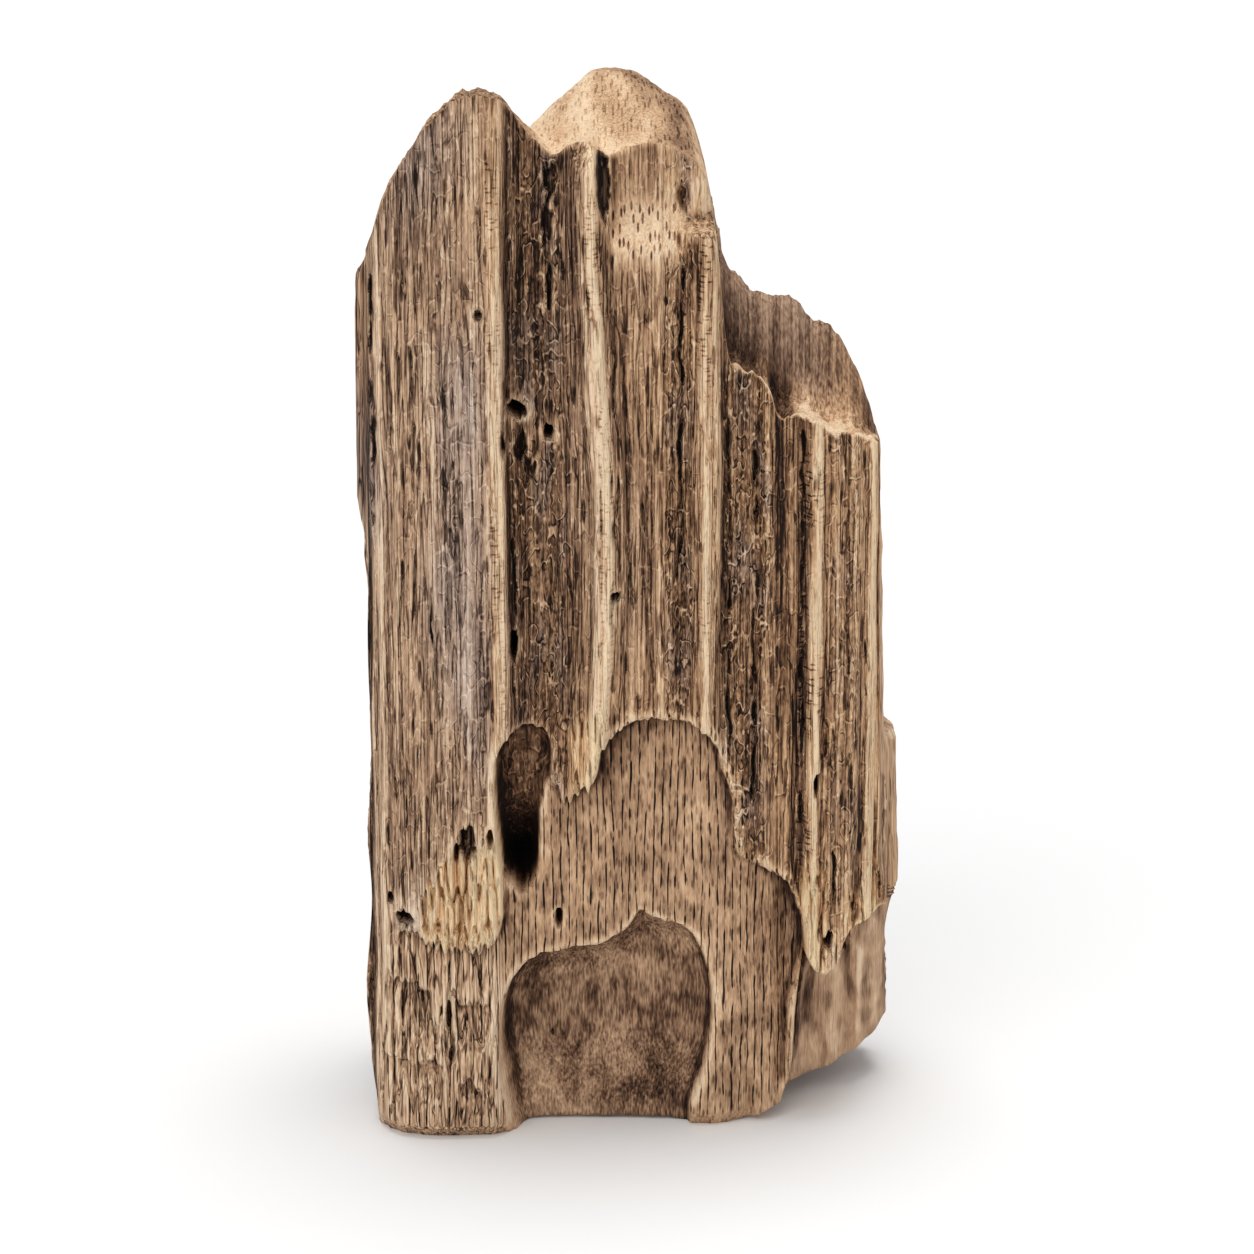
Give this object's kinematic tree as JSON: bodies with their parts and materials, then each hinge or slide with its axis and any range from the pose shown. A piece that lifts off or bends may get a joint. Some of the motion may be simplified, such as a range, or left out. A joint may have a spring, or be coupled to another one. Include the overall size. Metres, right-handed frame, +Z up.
{
  "type": "piece of driftwood",
  "caption": "Upright block of weathered driftwood with a fluted front, worn hollows and a stepped broken crown, standing on its flat foot.",
  "frame": {"origin": "centre of the bounding box's bottom, on the surface that the block stands on", "axes": "+Z up along the grain, +X to the right of the fluted front face, +Y from the front face to the back"},
  "size_m": [0.1147, 0.072, 0.2199],
  "materials": {
    "weathered_wood": "dry sea-worn grain, grey-brown with paler worn ridges"
  },
  "bodies": {
    "root": {"driftwood": "weathered_wood"}
  },
  "joints": []
}
